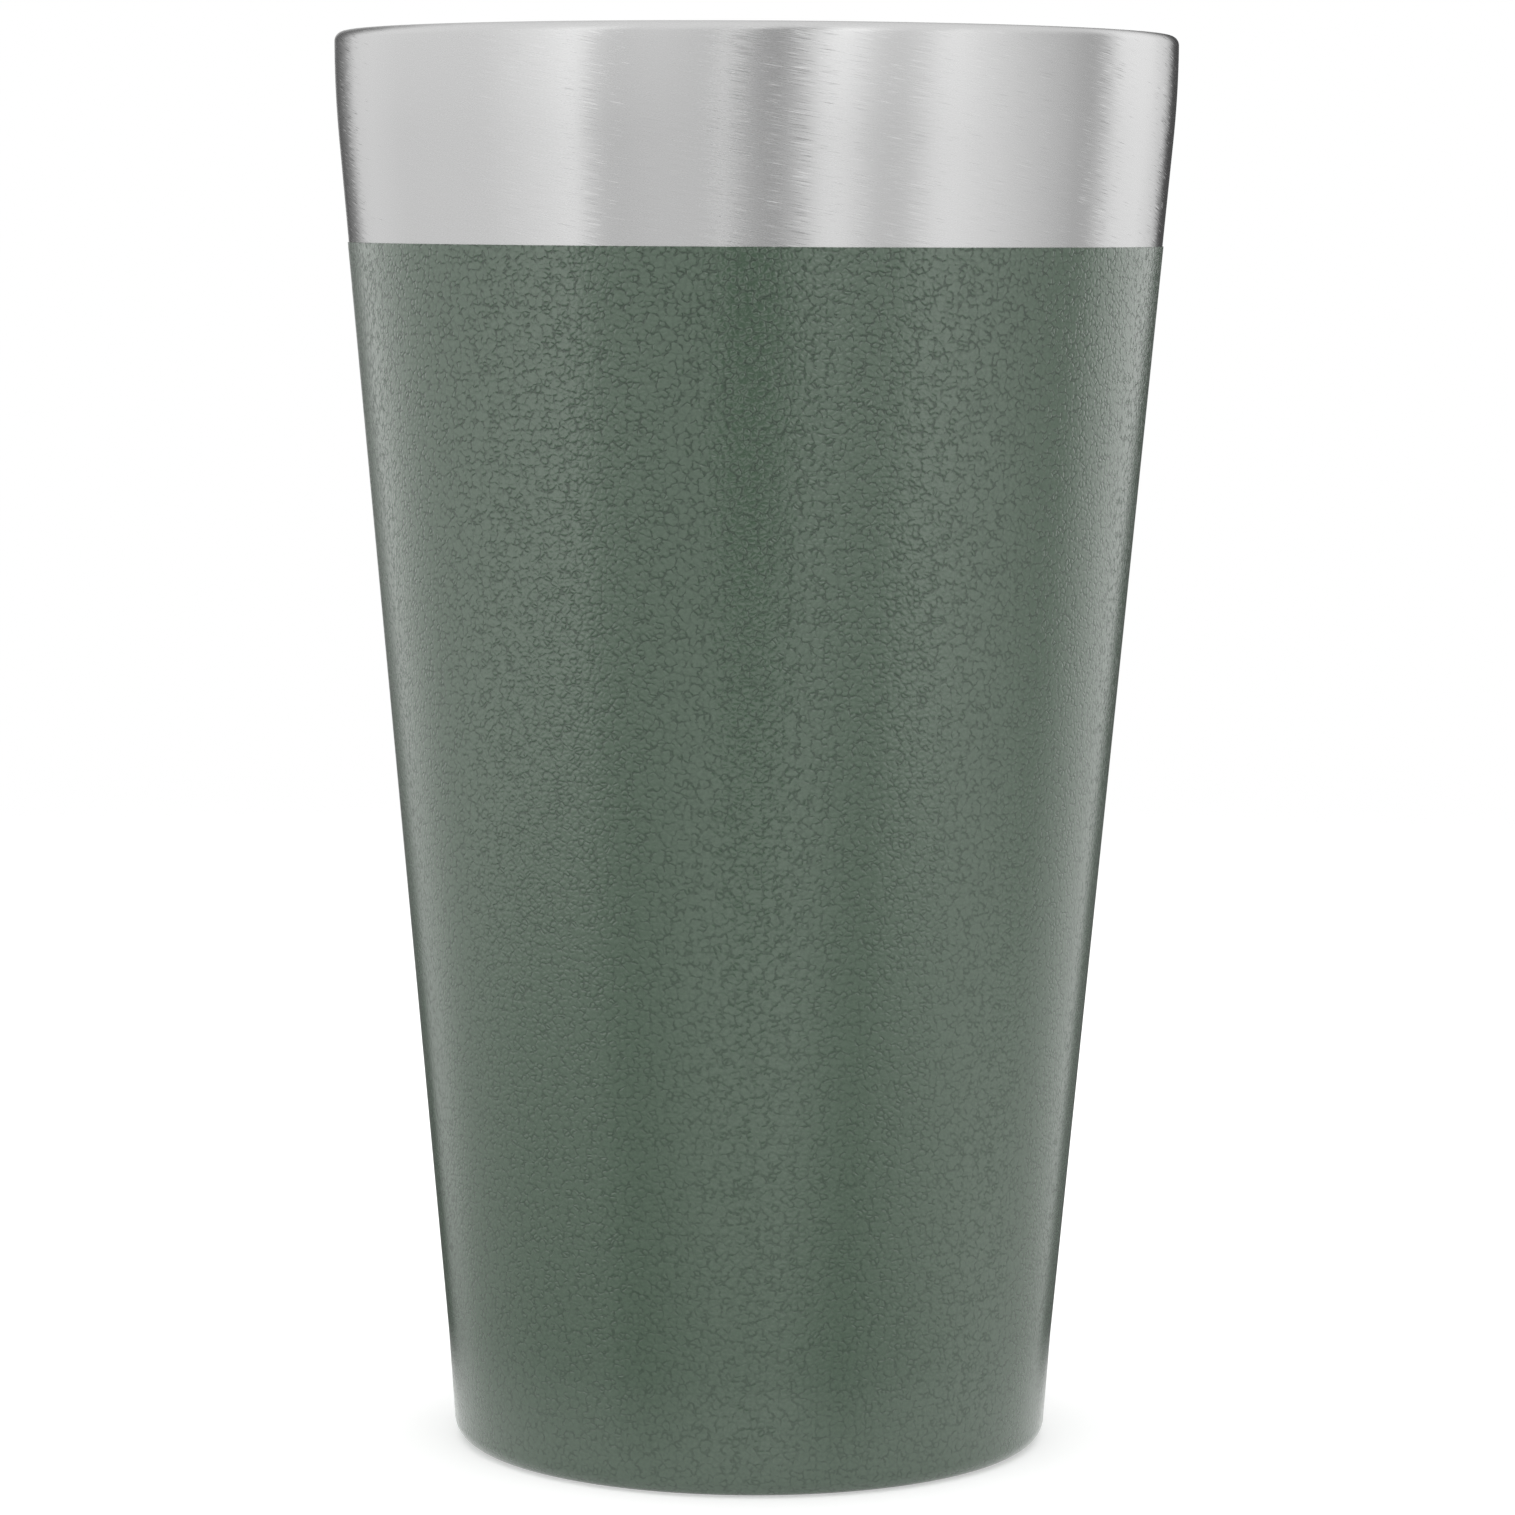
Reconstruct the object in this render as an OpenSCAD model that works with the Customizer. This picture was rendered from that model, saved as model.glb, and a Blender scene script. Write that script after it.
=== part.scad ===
// Double-wall vacuum pint cup.
// A tapered outer shell and a tapered liner are rolled towards each other and welded at the lip.
// A pan with a glass-sealed port closes the vacuum space, and a drawn cap with a round heel covers the pan.
// Millimetres, +Z up, origin at the centre of the standing ring.

/* [Overall] */
// Height from the standing ring to the crown of the lip
cup_h = 150; // [135:1:165]
// Outside diameter at the lip
rim_d = 89; // [82:0.5:96]
// Lean of the straight side from the vertical, in degrees
taper = 5.2; // [4.6:0.1:6.2]
// Width of the vacuum space between shell and liner
vacuum_gap = 3.4; // [2.6:0.1:4.2]

/* [Lip] */
// Radius of the rolled lip, on the shell and on the liner alike
lip_r = 1; // [0.8:0.05:1.3]
// Radius of the long sweep from the upright lip into the taper
sweep_r = 110; // [60:5:140]
// Height of the straight land inside the mouth, where a lid's gasket would seal
land_h = 3; // [2:0.5:6]
// Lean of the flare between the land and the straight liner, from the vertical, in degrees
flare_lean = 14; // [11:0.5:18]
// Radius of the two bends of the flare
flare_bend_r = 15; // [8:1:20]

/* [Sheet steel] */
// Thickness of the outer shell
shell_t = 0.5; // [0.4:0.05:0.7]
// Thickness of the liner tube and the liner bottom
liner_t = 0.4; // [0.3:0.05:0.6]
// Thickness of the vacuum pan
pan_t = 0.5; // [0.4:0.05:0.7]
// Thickness of the base cap
cap_t = 0.5; // [0.4:0.05:0.7]
// Width of a welded seam between two sheet edges
weld_w = 0.3; // [0.2:0.05:0.5]
// Clearance between a steel surface and the coat or skirt that lies on it
seat_clear = 0.01; // [0.005:0.005:0.03]

/* [Base cap] */
// Height of the seam between the base cap and the shell
cap_h = 11; // [8:0.5:14]
// Lean of the base cap's side from the vertical, in degrees
cap_draft = 4; // [2:0.5:6]
// Outside radius of the heel
heel_r = 2; // [1.4:0.1:3]
// Width of the flat ring that the cup stands on
ring_w = 2.6; // [2:0.2:5]
// Height of the recessed panel inside the standing ring
recess_h = 1.6; // [1:0.1:2.4]
// Width of the sloping step between the ring and the panel
step_w = 2.4; // [2:0.2:4]
// Outside bend radius of the step
step_bend_r = 1.2; // [0.9:0.1:1.5]

/* [Vacuum pan] */
// Height of the pan's panel above the shell's lower edge
pan_h = 3; // [2.6:0.2:5]
// Length of the skirt below the shell's edge, which centres the base cap
spigot_h = 2; // [1:0.5:4]
// Outside bend radius of the pan
pan_bend_r = 1.5; // [1:0.1:2.2]
// Radius of the dimple round the evacuation port
dimple_r = 5; // [4:0.5:7]
// Height of the dimple
dimple_h = 1.2; // [0.9:0.1:1.6]
// Bend radius of the dimple
dimple_bend_r = 0.9; // [0.8:0.05:1.1]
// Radius of the evacuation port
port_r = 0.8; // [0.5:0.1:1.2]
// Depth of the sealing glass under the dimple's roof
glass_h = 0.7; // [0.4:0.05:0.8]

/* [Liner bottom] */
// Clear height between the pan and the liner bottom
floor_gap = 3.6; // [3.2:0.1:5]
// Inside radius between the floor and the side
floor_bend_r = 5; // [3:0.5:7]
// Height of the liner's seam above the floor
liner_seam_h = 9; // [7.5:0.5:14]
// Radius of the raised stiffening disc in the floor
disc_r = 17; // [12:1:19]
// Height of the stiffening disc
disc_h = 0.8; // [0.4:0.1:1.2]
// Width of the slope around the stiffening disc
disc_slope_w = 2; // [1.6:0.2:3]
// Bend radius at the edge of the stiffening disc
disc_bend_r = 1.5; // [1:0.1:2]

/* [Getter] */
// Distance of the getter from the axis
getter_x = 15; // [13:0.5:17]
// Radius of the getter pellet
pellet_r = 4; // [3:0.25:4.5]
// Height of the getter pellet
pellet_h = 1.8; // [1.2:0.1:2.2]
// Thickness of the strap over the pellet
strap_t = 0.2; // [0.1:0.05:0.3]
// Width of the strap
strap_w = 4; // [3:0.5:6]
// Length of each welded foot of the strap
foot_l = 3; // [2:0.5:4]
// Inside bend radius of the strap
strap_bend_r = 0.5; // [0.4:0.05:0.7]

/* [Coat] */
// Thickness of the powder coat
coat_t = 0.1; // [0.08:0.02:0.2]
// Height of the bare steel band above the coat
band_h = 22; // [14:1:40]
// How far the coat wraps round the heel, in degrees below the horizontal
coat_wrap = 62; // [30:2:64]

/* [Hidden] */
$fn = 180;

// Every bend has at least this many facets along its arc
bend_steps = 6;
// and no facet of a bend turns by more than this angle
bend_step_angle = 7.5;

// The shell's outside: upright at the lip, then the sweep, then the taper
rim_r = rim_d / 2;
kink_z = cup_h - lip_r - sweep_r * tan(taper / 2);
shell_end_z = cap_h + weld_w;
// Wall thickness from the shell's outside to the liner's inside
wall_t = shell_t + vacuum_gap + liner_t;
// The mouth inside the rolled lip
mouth_r = rim_r - 2 * lip_r - weld_w;
land_z = cup_h - lip_r - land_h;
// The flare's upper corner, its slope's radius at height 0, and the height where it meets the liner's taper
flare_top_z = land_z - flare_bend_r * tan(flare_lean / 2);
flare_foot_r = mouth_r - flare_top_z * tan(flare_lean);
flare_z = (under_shell_r(0, wall_t) - flare_foot_r) / (tan(flare_lean) - tan(taper));
// Levels of the base, from the pan up to the liner's floor
pan_z = shell_end_z + pan_h;
skirt_z = shell_end_z - spigot_h;
floor_z = pan_z + floor_gap + liner_t;
liner_seam_z = floor_z + liner_seam_h;
dimple_roof_z = pan_z + dimple_h;
// Base cap
cap_top_r = shell_r(cap_h);
base_r = cap_top_r - cap_h * tan(cap_draft);
heel_reach = heel_r / tan(45 + cap_draft / 2);
heel_centre = [base_r - heel_reach, heel_r];
ring_corner_r = heel_centre.x - ring_w - bend_reach(step_bend_r, step_w, recess_h);
panel_r = ring_corner_r - step_w;

// Radius of the shell's outside taper at height z
function shell_r(z) = rim_r - (kink_z - z) * tan(taper);
// Radius, at height z, of the surface that lies d under the shell's outside taper
function under_shell_r(z, d) = shell_r(z) - d / cos(taper);
// How far from its corner a bend of radius r starts, between the level and a slope of that run and rise
function bend_reach(r, run, rise) = r * tan(atan2(rise, run) / 2);

function unit(v) = v / norm(v);
function turned(v, angle) = [v.x * cos(angle) - v.y * sin(angle), v.x * sin(angle) + v.y * cos(angle)];
function flat(p) = [p.x, p.y];
function last(list) = list[len(list) - 1];
function reversed(list) = [for (i = [len(list) - 1 : -1 : 0]) list[i]];

// Points of an arc round a centre, from its start arm through an angle
function arc(centre, arm, angle) =
    let (steps = max(bend_steps, ceil(abs(angle) / bend_step_angle)))
    [for (i = [0 : steps]) centre + turned(arm, angle * i / steps)];

// Points of the round bend at a corner [r, z, bend radius] between its two neighbours
function bend(before, corner, after) =
    let (
        point = flat(corner),
        back = unit(flat(before) - point),
        ahead = unit(flat(after) - point),
        half = acos(back * ahead) / 2,
        centre = point + unit(back + ahead) * corner[2] / sin(half),
        arm = point + back * corner[2] / tan(half) - centre
    )
    arc(centre, arm, (180 - 2 * half) * sign(cross(ahead, back)));

// A path through corners [r, z, bend radius], with its two ends as plain points [r, z]
function bent_path(corners) = distinct([
    for (i = [0 : len(corners) - 1])
        each i == 0 || i == len(corners) - 1
            ? [flat(corners[i])]
            : bend(corners[i - 1], corners[i], corners[i + 1])
]);

// The points of a path, each only once where two bends meet or a bend starts at an end
function distinct(path) = [
    for (i = [0 : len(path) - 1])
        if (i == 0 || norm(path[i] - path[max(i, 1) - 1]) > 0.001) path[i]
];

// The path moved sideways by t, to the left of its travel where t is positive
function beside(path, t) = [
    for (i = [0 : len(path) - 1])
        let (
            before = unit(path[max(i, 1)] - path[max(i, 1) - 1]),
            after = unit(path[min(i, len(path) - 2) + 1] - path[min(i, len(path) - 2)]),
            square = turned(before, 90),
            mitre = turned(unit(before + after), 90)
        )
        path[i] + mitre * t / (mitre * square)
];

// The two corners of a sheet's cut edge, at the start or the end of its path
function start_edge(path, t) = [path[0], beside(path, t)[0]];
function end_edge(path, t) = [last(path), last(beside(path, t))];

// Volume inside a path of the cup's inner surface, in cubic millimetres
function volume_inside(path) =
    let (
        slices = [
            for (i = [1 : len(path) - 1])
                let (a = path[i - 1], b = path[i])
                (b.y - a.y) * PI / 3 * (a.x * a.x + a.x * b.x + b.x * b.x)
        ]
    )
    abs(slices * [for (slice = slices) 1]);

// Outside of the shell, from the crown of the lip down to its lower edge
shell_path = bent_path([
    [rim_r - lip_r, cup_h],
    [rim_r, cup_h, lip_r],
    [rim_r, kink_z, sweep_r],
    [shell_r(shell_end_z), shell_end_z]
]);
// Inside of the liner tube, from the crown of the lip down to the liner's seam
liner_path = bent_path([
    [mouth_r + lip_r, cup_h],
    [mouth_r, cup_h, lip_r],
    [mouth_r, flare_top_z, flare_bend_r],
    [under_shell_r(flare_z, wall_t), flare_z, flare_bend_r],
    [under_shell_r(liner_seam_z, wall_t), liner_seam_z]
]);
// Inside of the liner bottom, from the axis out and up to the liner's seam
bottom_path = bent_path([
    [0, floor_z + disc_h],
    [disc_r, floor_z + disc_h, disc_bend_r],
    [disc_r + disc_slope_w, floor_z, disc_bend_r],
    [under_shell_r(floor_z, wall_t), floor_z, floor_bend_r],
    [under_shell_r(liner_seam_z - weld_w, wall_t), liner_seam_z - weld_w]
]);
// Outside of the pan, from the skirt's lower edge up and in to the port
pan_path = bent_path([
    [under_shell_r(skirt_z, shell_t + seat_clear), skirt_z],
    [under_shell_r(pan_z, shell_t + seat_clear), pan_z, pan_bend_r],
    [dimple_r, pan_z, dimple_bend_r],
    [dimple_r - dimple_h, dimple_roof_z, dimple_bend_r],
    [port_r, dimple_roof_z]
]);
// Outside of the base cap, from the axis out along the underside and up to the seam
cap_path = bent_path([
    [0, recess_h],
    [panel_r, recess_h, step_bend_r],
    [ring_corner_r, 0, step_bend_r],
    [base_r, 0, heel_r],
    [cap_top_r, cap_h]
]);
// Steel under the coat, from the bare band down the side and part of the way round the heel
coated_path = concat(
    [[shell_r(cup_h - band_h), cup_h - band_h], [cap_top_r, cap_h]],
    arc(heel_centre, turned([heel_r, 0], -cap_draft), cap_draft - coat_wrap)
);
coat_path = beside(coated_path, seat_clear);
// Underside of the getter strap, from foot to foot
strap_side = pellet_r + strap_bend_r;
strap_path = bent_path([
    [-strap_side - foot_l, 0],
    [-strap_side, 0, strap_bend_r],
    [-strap_side, pellet_h, strap_bend_r],
    [strap_side, pellet_h, strap_bend_r],
    [strap_side, 0, strap_bend_r],
    [strap_side + foot_l, 0]
]);

echo(brim_capacity_ml = (volume_inside(liner_path) + volume_inside(bottom_path)) / 1000);

// Cross-section of a sheet of thickness t beside a path
module sheet(path, t) {
    polygon(concat(path, reversed(beside(path, t))));
}

// A sheet turned round the cup's axis
module turned_sheet(path, t) {
    rotate_extrude() sheet(path, t);
}

// The seam that fills the space between two sheet edges
module seam(edge_a, edge_b) {
    rotate_extrude() polygon(concat(edge_a, reversed(edge_b)));
}

module outer_shell() {
    color("silver") turned_sheet(shell_path, -shell_t);
}

module liner_tube() {
    color("gainsboro") turned_sheet(liner_path, liner_t);
}

module liner_bottom() {
    color("gainsboro") turned_sheet(bottom_path, -liner_t);
}

module vacuum_pan() {
    color("darkgray") turned_sheet(pan_path, pan_t);
}

module base_cap() {
    color("silver") turned_sheet(cap_path, cap_t);
}

module rim_weld() {
    color("lightgray") seam(start_edge(shell_path, -shell_t), start_edge(liner_path, liner_t));
}

module liner_weld() {
    color("lightgray") seam(end_edge(liner_path, liner_t), end_edge(bottom_path, -liner_t));
}

module base_weld() {
    color("lightgray") seam(end_edge(shell_path, -shell_t), end_edge(cap_path, cap_t));
}

module getter_pellet() {
    color("dimgray")
        translate([getter_x, 0, pan_z])
            cylinder(r = pellet_r, h = pellet_h);
}

module getter_strap() {
    color("lightsteelblue")
        translate([getter_x, strap_w / 2, pan_z])
            rotate([90, 0, 0])
                linear_extrude(height = strap_w)
                    sheet(strap_path, strap_t);
}

// The glass fills the port and lies against the dimple's roof from below
module port_glass() {
    roof_z = dimple_roof_z - pan_t;
    glass_r = dimple_r - dimple_h - pan_t;
    color("darkslategray")
        rotate_extrude()
            polygon([
                [0, roof_z - glass_h],
                [glass_r - glass_h, roof_z - glass_h],
                [glass_r, roof_z],
                [port_r, roof_z],
                [port_r, dimple_roof_z],
                [0, dimple_roof_z]
            ]);
}

module hammertone_coat() {
    color("#5f6b60") turned_sheet(coat_path, coat_t);
}

outer_shell();
liner_tube();
liner_bottom();
vacuum_pan();
base_cap();
rim_weld();
liner_weld();
base_weld();
getter_pellet();
getter_strap();
port_glass();
hammertone_coat();
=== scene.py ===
# %% [markdown]
# # A steel pint cup with a hammertone coat
# This lesson dresses a finished CAD model of a double-wall pint cup. The CAD already has every solid in
# its place, so here each visible sheet of metal is turned again as a clean, smooth mesh, and each finish
# is built from nodes. Everything is in metres, with the origin in the middle of the ring that the cup
# stands on.

# %% Load the CAD model as a fixed frame
from math import atan, ceil, cos, pi, radians, sin, tan

import bmesh
import bpy
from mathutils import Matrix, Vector


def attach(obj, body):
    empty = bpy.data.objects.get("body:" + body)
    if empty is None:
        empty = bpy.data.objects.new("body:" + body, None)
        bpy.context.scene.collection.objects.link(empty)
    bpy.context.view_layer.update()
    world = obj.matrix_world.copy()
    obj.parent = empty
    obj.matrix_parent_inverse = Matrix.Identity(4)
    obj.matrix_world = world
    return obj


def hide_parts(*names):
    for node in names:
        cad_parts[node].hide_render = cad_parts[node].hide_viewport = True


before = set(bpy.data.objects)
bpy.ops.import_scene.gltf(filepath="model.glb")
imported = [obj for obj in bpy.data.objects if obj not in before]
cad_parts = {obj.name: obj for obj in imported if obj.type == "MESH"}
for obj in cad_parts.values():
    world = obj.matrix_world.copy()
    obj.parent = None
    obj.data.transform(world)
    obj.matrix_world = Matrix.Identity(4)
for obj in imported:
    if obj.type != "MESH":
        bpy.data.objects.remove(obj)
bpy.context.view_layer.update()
MM = 0.001
scene = bpy.context.scene
print("CAD nodes:", ", ".join(sorted(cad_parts)))

# %% [markdown]
# ## The camera
# The picture was taken with a longish lens from a little under the lip, looking slightly down, so the
# mouth is closed to view and the foot shows as a deep curve. Distance, height and lens came from matching
# the cup's outline. A camera looks along its own -Z, so a quarter turn about X points it at the horizon;
# the ZYX order lets the small roll happen first, about the line of sight.

# %% Camera
FOCAL_LENGTH, SENSOR_W = 126.5, 36  # in millimetres, as on a real lens
EYE = Vector((0.5, -567.4, 131.65)) * MM
LOOK_DOWN, ROLL = radians(5.878), radians(0.32)

lens = bpy.data.cameras.new("camera")
lens.sensor_width = SENSOR_W
lens.lens = FOCAL_LENGTH
camera = bpy.data.objects.new("camera", lens)
camera.location = EYE
camera.rotation_mode = "ZYX"
camera.rotation_euler = (pi / 2 - LOOK_DOWN, 0, ROLL)
scene.collection.objects.link(camera)
scene.camera = camera
scene.view_settings.view_transform = "Standard"
print(f"camera {EYE.length:.3f} m from the foot, {FOCAL_LENGTH} mm lens")

# %% [markdown]
# ## Helpers for node trees
# Materials and the world are node trees. One small function adds a node, sets what is given to it and
# links any socket among the values, so that a finish reads as a short list of what feeds what. Two more
# are short forms for sums with numbers and with vectors.

# %% Node helpers
def add(tree, kind, *inputs, **settings):
    """Adds a node. Inputs go in order, settings by name to a property or an input; sockets are linked."""
    made = tree.nodes.new("ShaderNode" + kind)
    named = {}
    for name, value in settings.items():
        if hasattr(made, name):
            setattr(made, name, value)
        else:
            named[name.replace("_", " ")] = value
    for key, value in [*enumerate(inputs), *named.items()]:
        if isinstance(value, bpy.types.NodeSocket):
            tree.links.new(value, made.inputs[key])
        elif value is not None:
            made.inputs[key].default_value = value
    return made


def maths(tree, operation, *values):
    """A sum with numbers or sockets."""
    return add(tree, "Math", *values, operation=operation).outputs[0]


def vector_maths(tree, operation, *values, **settings):
    """A sum with vectors."""
    result = add(tree, "VectorMath", *values, operation=operation, **settings).outputs
    return result["Value" if operation == "LENGTH" else "Vector"]


# %% [markdown]
# ## The studio
# Steel and gloss paint only show what stands around them. The reflections tell of tall soft boxes on both
# sides, a darker gap where the camera stood and dark flags behind the cup that draw its thin dark edges.
# Lamps and cards could do it, but a world whose brightness depends on the direction is softer and renders
# with less noise. The plan below goes round the cup, in degrees from the camera's side, positive to the
# right. Each direction has three levels of brightness: low down on the table, at the boxes, and above
# them.

# %% Plan of the soft boxes, gaps and flags
STUDIO = [
    # direction, low, boxes, above
    (-180, 0.5, 0.7, 1.0),     # backdrop
    (-175, 0.3, 0.4, 0.6),
    (-170, 0.1, 0.1, 0.1),     # left flag
    (-156, 0.1, 0.1, 0.45),
    (-146, 0.3, 0.8, 1.45),    # left strip box
    (-136, 0.65, 1.05, 1.4),
    (-115, 0.7, 1.0, 1.25),    # left wall
    (-85, 0.7, 1.6, 1.2),
    (-60, 0.8, 1.85, 1.7),     # big left box
    (-52, 0.8, 1.95, 2.2),
    (-48.5, 0.65, 1.25, 0.9),
    (-37, 0.55, 1.1, 1.3),     # fill
    (-15, 1.05, 0.95, 0.9),
    (-12, 1.1, 0.8, 3.0),
    (-9.5, 1.2, 0.0, 0.4),     # gap for the camera
    (3, 1.2, 0.0, 0.4),
    (8, 1.3, 0.5, 1.3),
    (15, 1.3, 1.25, 2.3),      # fill, with a lamp above
    (28, 0.9, 1.1, 1.2),
    (39, 0.6, 1.1, 1.2),
    (46, 0.8, 1.95, 1.7),      # right box
    (58, 1.0, 1.9, 1.3),
    (72, 1.2, 1.5, 1.0),
    (88, 1.3, 0.9, 0.8),
    (99, 1.25, 0.6, 0.6),      # gap between the right boxes
    (112, 1.05, 0.95, 1.6),
    (129, 0.85, 1.2, 1.65),    # right strip box
    (145, 0.7, 1.1, 1.25),
    (153, 0.2, 0.2, 0.1),      # right flag
    (170, 0.1, 0.1, 0.1),
    (175, 0.3, 0.4, 0.6),
    (180, 0.5, 0.7, 1.0),      # backdrop
]
brightest = max(level for _, *levels in STUDIO for level in levels)
print(f"{len(STUDIO)} directions, brightest level {brightest}")

# %% [markdown]
# A colour ramp holds at most 32 stops, and each stop has three channels: one for each height. The boxes
# lean a little, so the compass direction is shifted with the height before it goes into the ramp. A
# ramp's colours end at 1, so the levels are divided by the brightest one and multiplied again afterwards.

# %% Ramp round the compass
BOX_HEIGHT, LEAN = radians(-12), 0.35

studio = bpy.data.worlds.new("studio")
studio.use_nodes = True
tree = studio.node_tree
tree.nodes.clear()
x, y, z = add(tree, "SeparateXYZ", add(tree, "TexCoord").outputs["Generated"]).outputs
height = maths(tree, "ARCSINE", z)
compass = maths(tree, "ARCTAN2", x, maths(tree, "MULTIPLY", y, -1.0))
leaning = maths(tree, "MULTIPLY_ADD", maths(tree, "SUBTRACT", height, BOX_HEIGHT), -LEAN, compass)
round_ramp = add(tree, "ValToRGB", maths(tree, "MULTIPLY_ADD", leaning, 0.5 / pi, 0.5))
ramp = round_ramp.color_ramp
while len(ramp.elements) < len(STUDIO):
    ramp.elements.new(0.5)
for element, (towards, *levels) in zip(ramp.elements, STUDIO):
    element.position = (towards + 180) / 360
    element.color = [level / brightest for level in levels] + [1]
low, boxes, high = add(tree, "SeparateColor", round_ramp.outputs["Color"]).outputs
print(len(ramp.elements), "stops in the studio's ramp")

# %% [markdown]
# The three levels are mixed by height. The table darkens towards the cup, and over the boxes the ceiling
# is an even pale grey. The camera itself sees plain white, as in a picture that is cut out of its
# background.

# %% World
TABLE_NEAR, TABLE_FAR, NEAR_SHADE = radians(-24), radians(-18.5), 0.6
TABLE_END, ABOVE_BOXES = radians(-17), radians(-4)
CEILING_FROM, CEILING_FULL, CEILING = radians(22), radians(42), 1.25


def blend(tree, value, low, high, first, second):
    """Goes smoothly from one value to another while a third one passes between two limits."""
    share = add(tree, "MapRange", value, low, high, 0.0, 1.0, interpolation_type="SMOOTHSTEP").outputs[0]
    return add(tree, "Mix", data_type="FLOAT", Factor=share, A=first, B=second).outputs[0]


near = blend(tree, height, TABLE_NEAR, TABLE_FAR, maths(tree, "MULTIPLY", low, NEAR_SHADE), low)
lower = blend(tree, height, TABLE_END, BOX_HEIGHT, near, boxes)
upper = blend(tree, height, BOX_HEIGHT, ABOVE_BOXES, lower, high)
belt = maths(tree, "MULTIPLY", upper, brightest)
light = blend(tree, height, CEILING_FROM, CEILING_FULL, belt, CEILING)
seen = add(tree, "LightPath").outputs["Is Camera Ray"]
level = add(tree, "Mix", data_type="FLOAT", Factor=seen, A=light, B=1.0).outputs[0]
glow = add(tree, "Background", (1, 1, 1, 1), level)
tree.links.new(glow.outputs[0], add(tree, "OutputWorld").inputs["Surface"])
scene.world = studio
print("world:", studio.name, len(tree.nodes), "nodes")

# %% [markdown]
# ## The floor
# A round pale table top. It takes the cup's soft shadow and lights the heel from below, and it fades out
# before its edge. In reflections it fades out much nearer to the cup, because the studio's low level
# already holds what the table mirrors further out. It also glows a little, as a table lit from below
# does; this lifts it to the white of the background and brightens the heel. From below it is clear, so
# that the cup's foot can be looked at.

# %% Floor
FLOOR_R, UNDER_FOOT = 0.7, 0.05 * MM
bm = bmesh.new()
bmesh.ops.create_circle(bm, cap_ends=True, segments=96, radius=FLOOR_R)
floor_mesh = bpy.data.meshes.new("floor")
bm.to_mesh(floor_mesh)
bm.free()
floor = bpy.data.objects.new("floor", floor_mesh)
floor.location.z = -UNDER_FOOT
scene.collection.objects.link(floor)
print(f"floor {2 * FLOOR_R:.1f} m across")

# %% Pale table top
PALE, GLOW, MIRRORED_GLOW = (0.86, 0.86, 0.86, 1), 0.3, 0.2
FADE_FROM, FADE_TO, MIRRORED_FADE = 0.2, 0.62, 8.0

table = bpy.data.materials.new("pale_table")
table.use_nodes = True
tree = table.node_tree
tree.nodes.clear()
mirrored = add(tree, "LightPath").outputs["Is Glossy Ray"]
distance = vector_maths(tree, "LENGTH", add(tree, "TexCoord").outputs["Object"])
farther = maths(tree, "MULTIPLY", distance, maths(tree, "MULTIPLY_ADD", mirrored, MIRRORED_FADE, 1.0))
fade = blend(tree, farther, FADE_FROM, FADE_TO, 0.0, 1.0)
gone = maths(tree, "MAXIMUM", fade, add(tree, "NewGeometry").outputs["Backfacing"])
matt = add(tree, "BsdfDiffuse", PALE)
lift = add(tree, "Emission", (1, 1, 1, 1), maths(tree, "MULTIPLY_ADD", mirrored, MIRRORED_GLOW, GLOW))
top = add(tree, "AddShader", matt.outputs[0], lift.outputs[0])
clear = add(tree, "BsdfTransparent")
shown = add(tree, "MixShader", gone, top.outputs[0], clear.outputs[0])
tree.links.new(shown.outputs[0], add(tree, "OutputMaterial").inputs["Surface"])
floor_mesh.materials.append(table)
print("floor finish:", table.name, len(tree.nodes), "nodes")

# %% [markdown]
# ## Turning a sheet of steel
# The shell, the liner and the cap are all sheet metal turned about one axis. A Screw modifier would do,
# but drawing the section with operators keeps every bend exact: a vertex is extruded to where a bend
# starts and spun round the bend's own centre, corner after corner. The finished line is then spun round
# the cup's axis, cleaned, and given its thickness.

# %% Draw a section through corners
ROW = 2.5 * MM  # long straight runs are cut into rows about this tall, so that shading stays local
ROUNDING = 0.001  # of a row, so that a run of no length gets none
BEND_ROWS = 12  # rows of each bend


def straight(bm, pen, end):
    """Extrudes the section's last point to a new place, row by row."""
    start = pen.co.copy()
    rows = ceil((end - start).length / ROW - ROUNDING)
    for row in range(rows):
        pen = bmesh.ops.extrude_vert_indiv(bm, verts=[pen])["verts"][0]
        pen.co = start.lerp(end, (row + 1) / rows)
    return pen


def draw_section(bm, corners):
    """Draws a section through corners of (radius, height, bend radius), all in millimetres."""
    places = [Vector((r, 0, z)) * MM for r, z, _ in corners]
    pen = bm.verts.new(places[0])
    for i in range(1, len(places) - 1):
        back = (places[i - 1] - places[i]).normalized()
        ahead = (places[i + 1] - places[i]).normalized()
        half = back.angle(ahead) / 2
        bend_r = corners[i][2] * MM
        pen = straight(bm, pen, places[i] + back * bend_r / tan(half))
        centre = places[i] + (back + ahead).normalized() * bend_r / sin(half)
        way = 1 if ahead.cross(back).y > 0 else -1
        arc = bmesh.ops.spin(bm, geom=[pen], cent=centre, axis=(0, way, 0), angle=pi - 2 * half,
                             steps=BEND_ROWS)
        pen = next(part for part in arc["geom_last"] if isinstance(part, bmesh.types.BMVert))
    straight(bm, pen, places[-1])


# %% Spin the section into a sheet
AROUND = 288  # steps of a full turn
SAME_PLACE = 1e-7  # points closer than this are one point
CREASE = radians(40)


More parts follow.
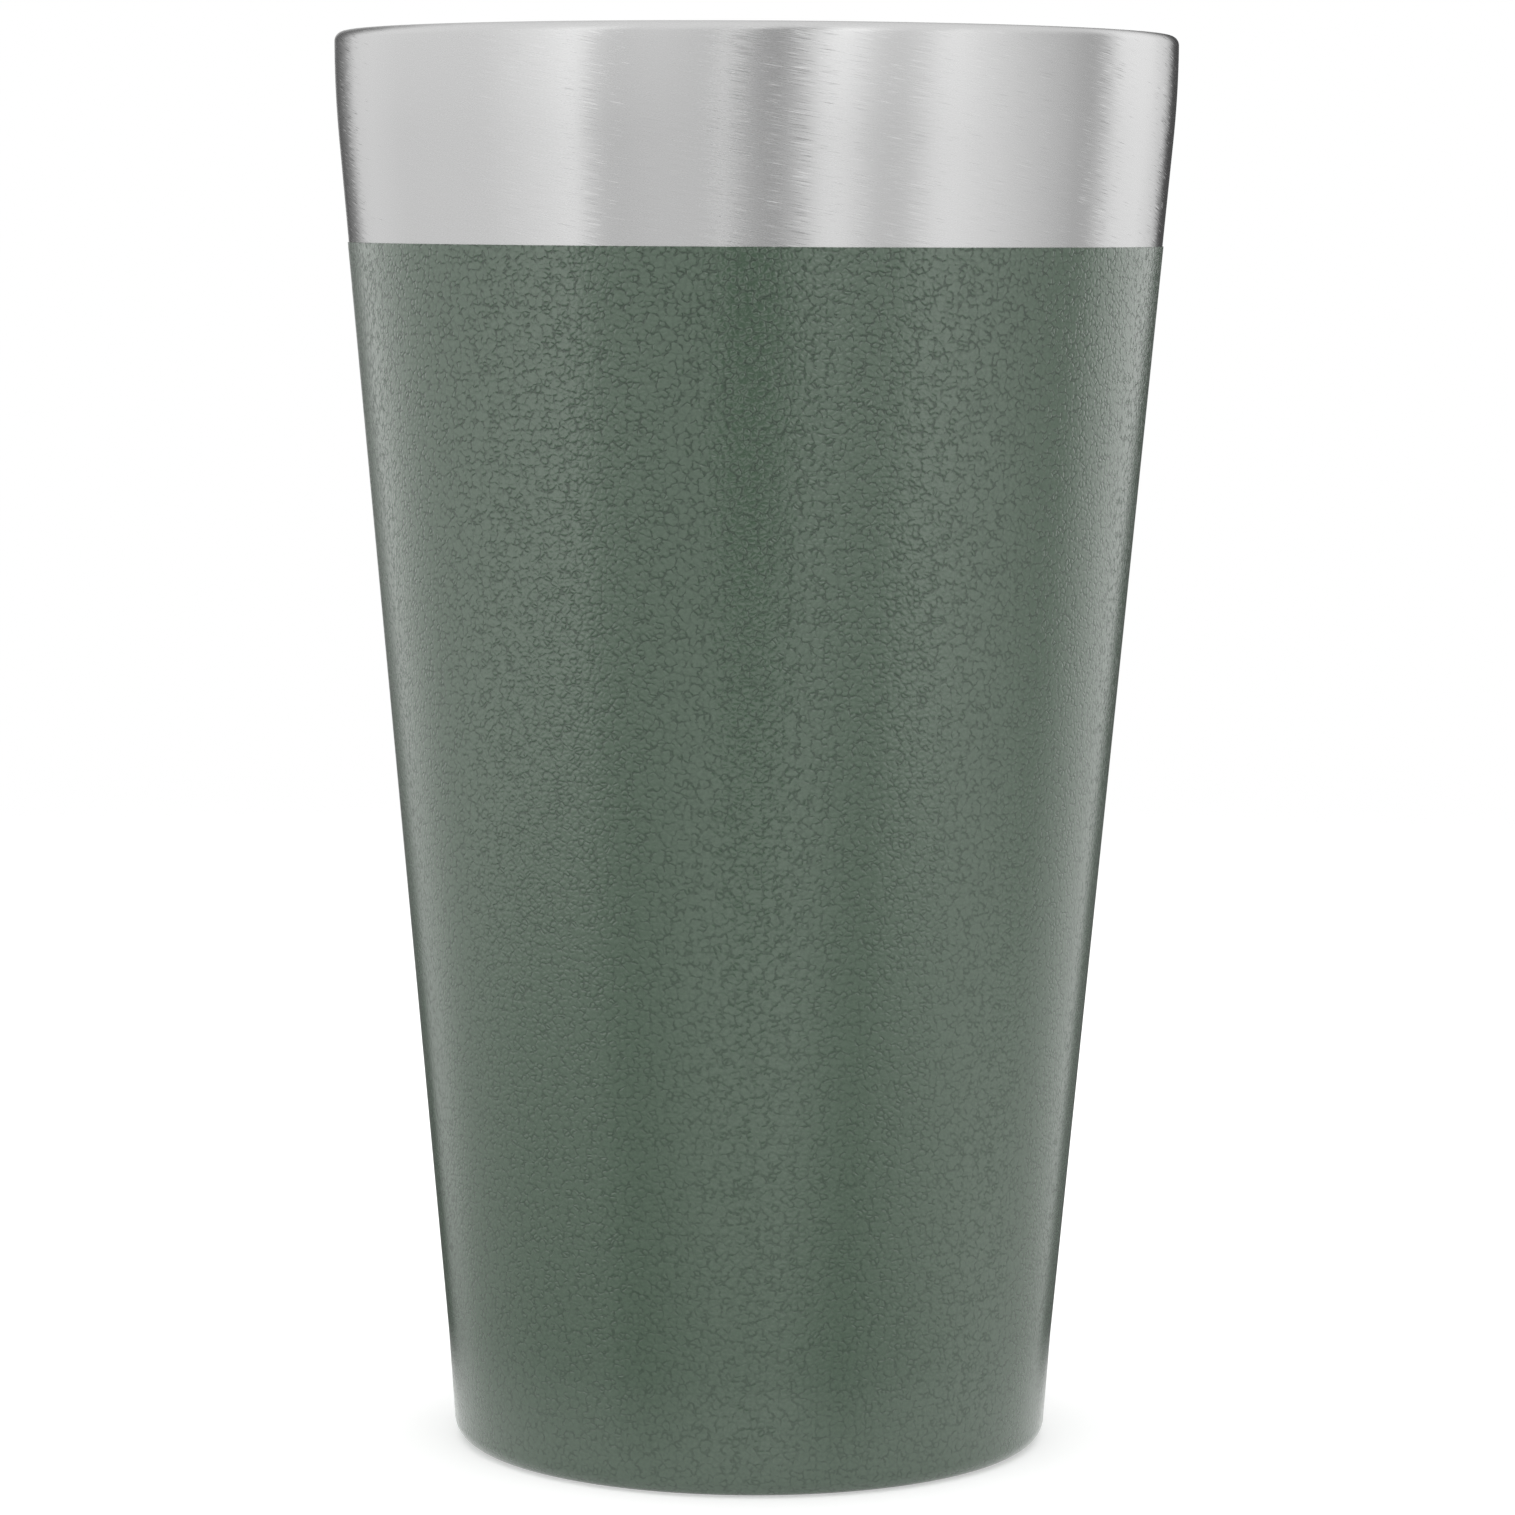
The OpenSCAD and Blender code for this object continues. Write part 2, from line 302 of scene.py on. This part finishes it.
def spin_round(bm):
    """Spins a section round the cup's axis, closes the turn and makes the faces look one way."""
    bmesh.ops.spin(bm, geom=bm.verts[:] + bm.edges[:], cent=(0, 0, 0), axis=(0, 0, 1), angle=2 * pi,
                   steps=AROUND, use_merge=True)
    bmesh.ops.remove_doubles(bm, verts=bm.verts[:], dist=SAME_PLACE)
    bmesh.ops.recalc_face_normals(bm, faces=bm.faces[:])


def finish_piece(bm, name):
    """Turns a bmesh into an object of the scene, smooth but for edges sharper than the crease angle."""
    for face in bm.faces:
        face.smooth = True
    mesh = bpy.data.meshes.new(name)
    bm.to_mesh(mesh)
    bm.free()
    mesh.set_sharp_from_angle(angle=CREASE)
    piece = bpy.data.objects.new(name, mesh)
    scene.collection.objects.link(piece)
    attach(piece, "root")
    print(f"{name}: {len(mesh.polygons)} faces, top at {max(v.co.z for v in mesh.vertices) / MM:.2f} mm")
    return piece


def away(face):
    """How far a face looks away from the cup's axis: 1 straight outwards, -1 straight inwards."""
    return face.normal.to_2d().dot(face.calc_center_median().to_2d().normalized())


def turned_sheet(name, corners, thickness):
    """A sheet with one face on the section. A positive thickness grows away from the axis, in millimetres."""
    bm = bmesh.new()
    draw_section(bm, corners)
    spin_round(bm)
    wall = max(bm.faces, key=lambda face: abs(away(face)))
    if away(wall) < 0:
        bmesh.ops.reverse_faces(bm, faces=bm.faces[:])
    bmesh.ops.solidify(bm, geom=bm.faces[:], thickness=-thickness * MM)
    return finish_piece(bm, name)


# %% [markdown]
# ## Finishes
# Every finish starts from Blender's own Principled shader and reads Object coordinates, which are metres
# in the frame of the cup, so a pattern has its true size without any unwrapping. What is useful on a
# turned wall is the way round it and the height, so a helper turns x, y and z into those two. The way
# round is measured from the front on the front half and from the back on the back half, since one measure
# for all of it would tear somewhere. The border between the halves is ragged, so that no straight line
# shows there.

# %% Start a finish, and put it on
def new_finish(name, **values):
    """A material with its Principled shader, and constant values on the shader's own sockets."""
    finish = bpy.data.materials.new(name)
    finish.use_nodes = True
    tree = finish.node_tree
    shader = tree.nodes["Principled BSDF"]
    for socket, value in values.items():
        shader.inputs[socket.replace("_", " ")].default_value = value
    return finish, tree, shader


def put_on(finish, *pieces):
    """Gives pieces their finish."""
    for piece in pieces:
        piece.data.materials.append(finish)
    names = ", ".join(piece.name for piece in pieces)
    print(f"finish {finish.name} of {len(finish.node_tree.nodes)} nodes on {names}")


# %% Find the way round and the height
RAGGED_W, RAGGED_SCALE = 3 * MM, 700.0


def on_the_wall(tree, slope=0.0, over_lip=False):
    """Way round the cup, and a height that grows with the distance from the axis, in metres.

    A slope lets lines of equal height fall to the right. Over the shell's lip the height goes on growing
    towards the axis.
    """
    place = add(tree, "TexCoord").outputs["Object"]
    x, y, z = add(tree, "SeparateXYZ", place).outputs
    out = vector_maths(tree, "LENGTH", add(tree, "CombineXYZ", x, y).outputs[0])
    ragged = add(tree, "TexNoise", Vector=place, Scale=RAGGED_SCALE).outputs[0]
    behind = maths(tree, "GREATER_THAN", maths(tree, "MULTIPLY_ADD", ragged, RAGGED_W, y), RAGGED_W / 2)
    side = maths(tree, "MULTIPLY_ADD", behind, -2.0, 1.0)
    angle = maths(tree, "ARCTAN2", maths(tree, "MULTIPLY", x, side),
                  maths(tree, "MULTIPLY", y, maths(tree, "MULTIPLY", side, -1.0)))
    way = maths(tree, "MULTIPLY_ADD", angle, out, behind)
    up = maths(tree, "SUBTRACT" if over_lip else "ADD", z, out)
    return way, maths(tree, "MULTIPLY_ADD", way, tan(slope), up)


# %% Patterns and how they reach the shader
def hairlines(tree, way, up, length, width):
    """Fine scratches: noise that is stretched along one direction. Sizes in millimetres, values about 0.5."""
    spread = add(tree, "CombineXYZ", maths(tree, "DIVIDE", way, length * MM),
                 maths(tree, "DIVIDE", up, width * MM)).outputs[0]
    return add(tree, "TexNoise", noise_dimensions="2D", Vector=spread, Scale=1.0, Detail=1.0).outputs[0]


def stretch(tree, value, low, high, to_low=0.0, to_high=1.0, smooth=False):
    """Maps a value between two limits to another range."""
    kind = "SMOOTHSTEP" if smooth else "LINEAR"
    return add(tree, "MapRange", value, low, high, to_low, to_high, interpolation_type=kind).outputs[0]


def tint(tree, value, dark, light):
    """Mixes two colours by a value."""
    return add(tree, "Mix", data_type="RGBA", Factor=value, A=(*dark, 1), B=(*light, 1)).outputs[2]


def grained(tree, shader, pattern, dark, light, roughness, span=(0.3, 0.7)):
    """Lets a pattern vary colour and roughness. The span is where most of the pattern's values lie."""
    tree.links.new(tint(tree, stretch(tree, pattern, *span), dark, light), shader.inputs["Base Color"])
    tree.links.new(stretch(tree, pattern, *span, *roughness), shader.inputs["Roughness"])


# %% [markdown]
# ## The outer shell
# A tapered tube of half-millimetre steel. Its top edge is rolled inwards to make the outer half of the
# lip; a long sweep leads from the upright lip into the straight taper. Only the top band stays bare.

# %% Outer shell
CUP_H, RIM_R, LIP_R = 150, 44.5, 1
TAPER = radians(5.2)
SWEEP_R = 110
SHELL_T, LINER_T, CAP_T = 0.5, 0.4, 0.5
SEAM_Z, SEAM_W = 11, 0.3
KINK_Z = CUP_H - LIP_R - SWEEP_R * tan(TAPER / 2)


def shell_r(z, depth=0):
    """Radius of the tapered outside at a height, or of the surface that lies some depth under it."""
    return RIM_R - (KINK_Z - z) * tan(TAPER) - depth / cos(TAPER)


shell = turned_sheet("steel_shell", [
    (RIM_R - LIP_R, CUP_H, 0),
    (RIM_R, CUP_H, LIP_R),
    (RIM_R, KINK_Z, SWEEP_R),
    (shell_r(SEAM_Z + SEAM_W), SEAM_Z + SEAM_W, 0),
], -SHELL_T)
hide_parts("outer_shell")

# %% [markdown]
# The band was brushed with an abrasive belt while the cup turned and moved sideways, so the scratches run
# round it and fall a little to the right. Scratches scatter light across their own direction: an
# anisotropic shader spreads the reflections up and down and leaves them narrow from side to side, which
# is why the soft boxes show as upright stripes. Steel also mirrors a little less than the plain formula
# says at a low angle, which the specular tint allows for.

# %% Brushed band
band, tree, shader = new_finish("brushed_steel", Metallic=1.0, Anisotropic=1.0, Anisotropic_Rotation=0.25,
                                Specular_Tint=(0.72, 0.72, 0.72, 1))
way, up = on_the_wall(tree, slope=radians(9), over_lip=True)
fine = hairlines(tree, way, up, length=3, width=0.09)
grained(tree, shader, fine, (0.51, 0.51, 0.51), (0.54, 0.54, 0.54), roughness=(0.25, 0.28))
print("brushed band:", len(tree.nodes), "nodes so far")

# %% [markdown]
# No scratch runs exactly round the cup, so each one mirrors a spot a little to the left or right of its
# neighbours. Most are shallow and a few are deep, and those show as short bright dashes in a dark
# reflection. The normal is turned sideways by the cube of the hairlines' value, which is tiny for most
# and large for a few.

# %% Scratches that look sideways
SCRATCH_DEPTH = 3.0
depth = maths(tree, "SUBTRACT", fine, 0.5)
cube = maths(tree, "MULTIPLY", depth, maths(tree, "MULTIPLY", depth, depth))
swing = maths(tree, "MULTIPLY", cube, SCRATCH_DEPTH)
place = add(tree, "TexCoord").outputs["Object"]
sideways = vector_maths(tree, "NORMALIZE", vector_maths(tree, "CROSS_PRODUCT", (0, 0, 1), place))
plain = add(tree, "NewGeometry").outputs["Normal"]
turned = vector_maths(tree, "ADD", vector_maths(tree, "SCALE", sideways, Scale=swing), plain)
tree.links.new(vector_maths(tree, "NORMALIZE", turned), shader.inputs["Normal"])
put_on(band, shell)

# %% [markdown]
# ## The coat
# A tenth of a millimetre of powder coat hugs the shell from a sharp line below the band, over the
# ground-down seam of the base cap, and round most of the heel. It is turned as a sheet of its own, so its
# upper edge is a real step on the steel.

# %% Hammertone coat
COAT_T, SEAT, BAND_H, COAT_WRAP = 0.1, 0.01, 22, radians(62)
CAP_DRAFT, HEEL_R = radians(4), 2
SEAM_BEND_R = 60  # the powder rounds off the slight bend at the seam
BASE_R = shell_r(SEAM_Z) - SEAM_Z * tan(CAP_DRAFT)
HEEL_X = BASE_R - HEEL_R / tan(pi / 4 + CAP_DRAFT / 2)

coat_z = CUP_H - BAND_H
heel_in = HEEL_R + SEAT
to_corner = heel_in * tan((COAT_WRAP - CAP_DRAFT) / 2)
heel_corner_x = HEEL_X + heel_in * cos(CAP_DRAFT) - to_corner * sin(CAP_DRAFT)
heel_corner_z = HEEL_R - heel_in * sin(CAP_DRAFT) - to_corner * cos(CAP_DRAFT)
coat = turned_sheet("hammertone_skin", [
    (shell_r(coat_z, -SEAT), coat_z, 0),
    (shell_r(SEAM_Z, -SEAT), SEAM_Z, SEAM_BEND_R),
    (heel_corner_x, heel_corner_z, heel_in),
    (HEEL_X + heel_in * cos(COAT_WRAP), HEEL_R - heel_in * sin(COAT_WRAP), 0),
], COAT_T)
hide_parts("hammertone_coat")

# %% [markdown]
# Hammertone powder pulls itself together while it melts in the oven: round lobes run into islands, and
# dark crevices stay open between the islands. A Voronoi texture gives the lobes. To know which of them
# belong together, a second, coarser Voronoi texture is asked at the middle of a spot's own lobe and at
# the middle of the next one: if both middles lie in one coarse cell, the lobes have run together and only
# a faint line is left between them. A few lobes stay alone as small pebbles. Noise stirs the coordinates
# first, so that no edge is straight.

# %% Hammertone lobes and islands
paint, tree, shader = new_finish("hammertone_paint", IOR=1.6)
LOBES, ISLANDS = 1500.0, 800.0  # in a metre
STIRRED_BY, STIR_SCALE = 0.45 * MM, 900.0
ALONE_FROM = 0.88  # a lobe whose random number is higher stays alone
ONE_ISLAND = 0.001  # random numbers closer than this are of one island
way, up = on_the_wall(tree)
flat = add(tree, "CombineXYZ", way, up).outputs[0]


def flat_noise(scale):
    return add(tree, "TexNoise", noise_dimensions="2D", Vector=flat, Scale=scale, Detail=1.0).outputs


def cells(feature, scale, place):
    return add(tree, "TexVoronoi", voronoi_dimensions="2D", feature=feature, Vector=place, Scale=scale,
               Randomness=0.9).outputs


stirred = vector_maths(tree, "MULTIPLY_ADD", flat_noise(STIR_SCALE)["Color"], (STIRRED_BY,) * 3, flat)
own, other = cells("F1", LOBES, stirred), cells("F2", LOBES, stirred)
island, pebble = [], []
for lobe in (own, other):
    island.append(add(tree, "SeparateColor", cells("F1", ISLANDS, lobe["Position"])["Color"]).outputs[0])
    pebble.append(add(tree, "SeparateColor", lobe["Color"]).outputs[1])
apart = maths(tree, "SUBTRACT", 1.0, maths(tree, "COMPARE", *island, ONE_ISLAND))
loner = maths(tree, "GREATER_THAN", maths(tree, "MAXIMUM", *pebble), ALONE_FROM)
apart = maths(tree, "MAXIMUM", apart, loner)
print(f"hammertone lobes {1000 / LOBES:.2f} mm apart, islands {1000 / ISLANDS:.2f} mm")

# %% [markdown]
# What the colour and the relief need is how far a spot is from the nearest crevice. A lobe ends at its
# cell's edge, or earlier where the edge is far from its middle, which makes it round. Noise lets a
# crevice come and go along a lobe's border. The colour darkens each crevice with painted shade, less in
# a wide gap than in a narrow one, and towards the foot the powder lies thicker and fills them, so their
# painted shade is fainter there. The tops are gently domed and glossy, so each one mirrors the soft
# boxes a little differently, and their rims turn away.

# %% How deep and wide the crevices are
# The height on the wall goes from 0.03 at the foot to 0.17 at the coat's upper line.
LOBE_R = 0.58  # of a cell
edge = maths(tree, "MINIMUM", cells("DISTANCE_TO_EDGE", LOBES, stirred)["Distance"],
             maths(tree, "SUBTRACT", LOBE_R, own["Distance"]))
edge = maths(tree, "MULTIPLY", edge, 1000 / LOBES)  # in millimetres
depth = stretch(tree, apart, 0.0, 1.0, 0.2, 1.0)
# The depth also sets how much painted shade darkens a crevice: less where a crevice fades, in a wide gap and
# towards the foot.
for share in (
    stretch(tree, flat_noise(1000.0)[0], 0.35, 0.62, 0.3, 1.0, smooth=True),  # comes and goes
    stretch(tree, edge, -0.2, -0.05, 0.4, 1.0),                               # paler floor of a wide gap
    stretch(tree, up, 0.08, 0.165, 0.7, 1.15),                                # filled towards the foot
):
    depth = maths(tree, "MULTIPLY", depth, share)
width = stretch(tree, up, 0.06, 0.16, 0.22, 0.14)
shaded_crevice = maths(tree, "MULTIPLY", depth, stretch(tree, edge, 0.0, width, 1.0, 0.0, smooth=True))
print("hammertone crevices:", len(tree.nodes), "nodes so far")

# %% Hammertone colour and relief
# The dark crevice green is painted shade, strongest in narrow crevices; the speckle is the coat's own random
# tone.
TOP_GREEN, SHADED_CREVICE_GREEN, CREVICE_PAINTED_SHADE = (0.060, 0.092, 0.064), (0.012, 0.029, 0.015), 0.72
GROOVE_H, GROOVE_W, DOME_H, DOME_W = 0.03, 0.2, 0.008, 0.32  # in millimetres
speckle = stretch(tree, flat_noise(2200.0)[0], 0.3, 0.7, 0.0, 0.2)
speckle_and_shade = maths(tree, "MULTIPLY_ADD", shaded_crevice, CREVICE_PAINTED_SHADE, speckle)
tree.links.new(tint(tree, speckle_and_shade, TOP_GREEN, SHADED_CREVICE_GREEN), shader.inputs["Base Color"])
tree.links.new(stretch(tree, shaded_crevice, 0.0, 1.0, 0.1, 0.25), shader.inputs["Roughness"])
groove = maths(tree, "MULTIPLY", depth, stretch(tree, edge, 0.0, GROOVE_W, -GROOVE_H, 0.0, smooth=True))
domed = maths(tree, "ADD", groove, stretch(tree, edge, 0.0, DOME_W, 0.0, DOME_H, smooth=True))
strength = stretch(tree, up, 0.08, 0.16, 0.5, 0.8)
relief = add(tree, "Bump", strength, Distance=MM, Height=domed)
tree.links.new(relief.outputs[0], shader.inputs["Normal"])
put_on(paint, coat)

# %% [markdown]
# ## The liner
# The inside of the cup is a second, thinner tube. It is rolled outwards to meet the shell at the lip,
# keeps a short straight land where a lid could seal, flares in to clear the vacuum space, and runs down
# beside the shell to its weld with the drawn bottom.

# %% Liner tube
VACUUM_GAP, LAND_H = 3.4, 3
FLARE_LEAN, FLARE_BEND_R = radians(14), 15
PAN_H, FLOOR_GAP, LINER_SEAM_H = 3, 3.6, 9
WALL = SHELL_T + VACUUM_GAP + LINER_T
MOUTH_R = RIM_R - 2 * LIP_R - SEAM_W
PAN_Z = SEAM_Z + SEAM_W + PAN_H
FLOOR_Z = PAN_Z + FLOOR_GAP + LINER_T
LINER_SEAM_Z = FLOOR_Z + LINER_SEAM_H
flare_top = CUP_H - LIP_R - LAND_H - FLARE_BEND_R * tan(FLARE_LEAN / 2)
flare_foot = MOUTH_R - flare_top * tan(FLARE_LEAN)
flare_z = (shell_r(0, WALL) - flare_foot) / (tan(FLARE_LEAN) - tan(TAPER))

liner = turned_sheet("liner_tube_sheet", [
    (MOUTH_R + LIP_R, CUP_H, 0),
    (MOUTH_R, CUP_H, LIP_R),
    (MOUTH_R, flare_top, FLARE_BEND_R),
    (shell_r(flare_z, WALL), flare_z, FLARE_BEND_R),
    (shell_r(LINER_SEAM_Z, WALL), LINER_SEAM_Z, 0),
], LINER_T)
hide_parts("liner_tube")

# %% [markdown]
# A shallow drawn pan closes the liner. A disc in its middle is raised by less than a millimetre, which
# stiffens the sheet. The section starts on the axis, so all its first points fall on one spot, and
# merging doubles makes them a single pole.

# %% Liner bottom
FLOOR_BEND_R, DISC_R, DISC_H, DISC_SLOPE_W, DISC_BEND_R = 5, 17, 0.8, 2, 1.5
bottom = turned_sheet("liner_bottom_sheet", [
    (0, FLOOR_Z + DISC_H, 0),
    (DISC_R, FLOOR_Z + DISC_H, DISC_BEND_R),
    (DISC_R + DISC_SLOPE_W, FLOOR_Z, DISC_BEND_R),
    (shell_r(FLOOR_Z, WALL), FLOOR_Z, FLOOR_BEND_R),
    (shell_r(LINER_SEAM_Z - SEAM_W, WALL), LINER_SEAM_Z - SEAM_W, 0),
], LINER_T)
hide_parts("liner_bottom")

# %% [markdown]
# Inside, the steel has a satin finish of fine lines straight round the cup. Bump could draw them, but
# lines as fine as these only flicker in a render, so they vary colour and roughness instead, and an
# anisotropic shader draws the light out into soft streaks.

# %% Satin liner
satin, tree, shader = new_finish("satin_steel", Metallic=1.0, Anisotropic=0.7, Anisotropic_Rotation=0.25)
way, up = on_the_wall(tree)
fine = hairlines(tree, way, up, length=30, width=0.15)
grained(tree, shader, fine, (0.58, 0.58, 0.57), (0.68, 0.68, 0.67), roughness=(0.3, 0.38))
put_on(satin, liner, bottom)

# %% [markdown]
# ## The base cap
# Seen when the cup is turned over: a drawn cap with the round heel, a flat ring to stand on and a panel
# set back from it.

# %% Base cap
RING_W, RECESS_H, STEP_W, STEP_BEND_R = 2.6, 1.6, 2.4, 1.2
ring_corner = HEEL_X - RING_W - STEP_BEND_R * tan(atan(RECESS_H / STEP_W) / 2)
cap = turned_sheet("base_cap_sheet", [
    (0, RECESS_H, 0),
    (ring_corner - STEP_W, RECESS_H, STEP_BEND_R),
    (ring_corner, 0, STEP_BEND_R),
    (BASE_R, 0, HEEL_R),
    (shell_r(SEAM_Z), SEAM_Z, 0),
], -CAP_T)
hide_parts("base_cap")

# %% [markdown]
# The cap is brushed in rings round its centre. On a flat face the helper's height is just the distance
# from the axis, so the hairlines that run round a wall turn into rings here, and no pattern of its own is
# needed.

# %% Base steel
rings, tree, shader = new_finish("ringed_steel", Metallic=1.0)
way, up = on_the_wall(tree)
fine = hairlines(tree, way, up, length=30, width=0.15)
grained(tree, shader, fine, (0.4, 0.4, 0.4), (0.52, 0.52, 0.52), roughness=(0.28, 0.38))
put_on(rings, cap)

# %% [markdown]
# ## Seams
# Two seams can be seen: the polished one on the crown of the lip, between shell and liner, and the one
# low down inside the cup. Each is a ring of its own. A curve with a bevel could make one, but a closed
# section of four corners, spun round the axis, ends flush with the sheets on both sides of it.

# %% Weld rings
def turned_ring(name, section):
    """A solid ring whose section is a closed loop of (radius, height) corners in millimetres."""
    bm = bmesh.new()
    loop = [bm.verts.new(Vector((r, 0, z)) * MM) for r, z in section]
    for start, end in zip(loop, loop[1:] + loop[:1]):
        bm.edges.new((start, end))
    spin_round(bm)
    return finish_piece(bm, name)


rim_seam = turned_ring("rim_seam", [
    (MOUTH_R + LIP_R, CUP_H),
    (RIM_R - LIP_R, CUP_H),
    (RIM_R - LIP_R, CUP_H - SHELL_T),
    (MOUTH_R + LIP_R, CUP_H - LINER_T),
])
through = Vector((cos(TAPER), -sin(TAPER))) * LINER_T  # from the liner's inside to its outside
seam_top = Vector((shell_r(LINER_SEAM_Z, WALL), LINER_SEAM_Z))
seam_foot = Vector((shell_r(LINER_SEAM_Z - SEAM_W, WALL), LINER_SEAM_Z - SEAM_W))
liner_seam = turned_ring("liner_seam", [seam_top, seam_top + through, seam_foot + through, seam_foot])
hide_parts("rim_weld")
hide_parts("liner_weld")

# %% [markdown]
# The weld was made as a row of small melted pools and then polished, so faint ripples across the seam
# remain. The hairlines make them too, if they are short along the seam and wide across it.

# %% Polished weld
bead, tree, shader = new_finish("polished_bead", Metallic=1.0)
way, up = on_the_wall(tree)
ripple = hairlines(tree, way, up, length=0.5, width=2)
grained(tree, shader, ripple, (0.45, 0.45, 0.44), (0.52, 0.52, 0.51), roughness=(0.16, 0.28))
put_on(bead, rim_seam, liner_seam)

# %% [markdown]
# ## Parts in the vacuum space
# The pan that closes the vacuum, the getter and its strap, the glass plug and the seam under the coat
# keep their CAD shapes, since nothing about them is softer or finer in reality. They only get finishes.
# Cold-rolled sheet keeps fine lines in the direction in which it was rolled, here along x.

# %% Mill-finished sheet
def dress(node, finish):
    """Gives a CAD node that keeps its shape its finish."""
    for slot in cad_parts[node].material_slots:
        slot.material = finish
    print(f"finish {finish.name} on {node}")


mill, tree, shader = new_finish("mill_sheet", Metallic=1.0)
x, y, z = add(tree, "SeparateXYZ", add(tree, "TexCoord").outputs["Object"]).outputs
rolled = hairlines(tree, x, maths(tree, "ADD", y, z), length=20, width=0.3)
grained(tree, shader, rolled, (0.27, 0.27, 0.265), (0.35, 0.35, 0.345), roughness=(0.34, 0.46))
for node in ("vacuum_pan", "getter_strap"):
    dress(node, mill)
dress("base_weld", bead)

# %% [markdown]
# The getter is metal powder pressed into a pill, so it is dull and grainy. The plug is a dark solder
# glass that has run smooth. Both take plain noise, the one fine and rough, the other cloudy and glossy.

# %% Pressed powder and solder glass
NARROW = (0.35, 0.65)  # where most values of plain noise lie
GRAIN_SCALE, GRAIN_H, CLOUD_SCALE = 4000.0, 0.02 * MM, 900.0
powder, tree, shader = new_finish("pressed_powder", Metallic=0.4)
place = add(tree, "TexCoord").outputs["Object"]
grain = add(tree, "TexNoise", Vector=place, Scale=GRAIN_SCALE).outputs[0]
grained(tree, shader, grain, (0.03, 0.03, 0.032), (0.055, 0.055, 0.058), roughness=(0.9, 0.7), span=NARROW)
tree.links.new(add(tree, "Bump", Distance=GRAIN_H, Height=grain).outputs[0], shader.inputs["Normal"])
dress("getter_pellet", powder)

glass, tree, shader = new_finish("solder_glass", IOR=1.6)
place = add(tree, "TexCoord").outputs["Object"]
cloud = add(tree, "TexNoise", Vector=place, Scale=CLOUD_SCALE).outputs[0]
grained(tree, shader, cloud, (0.018, 0.022, 0.02), (0.034, 0.041, 0.037), roughness=(0.08, 0.18), span=NARROW)
dress("port_glass", glass)
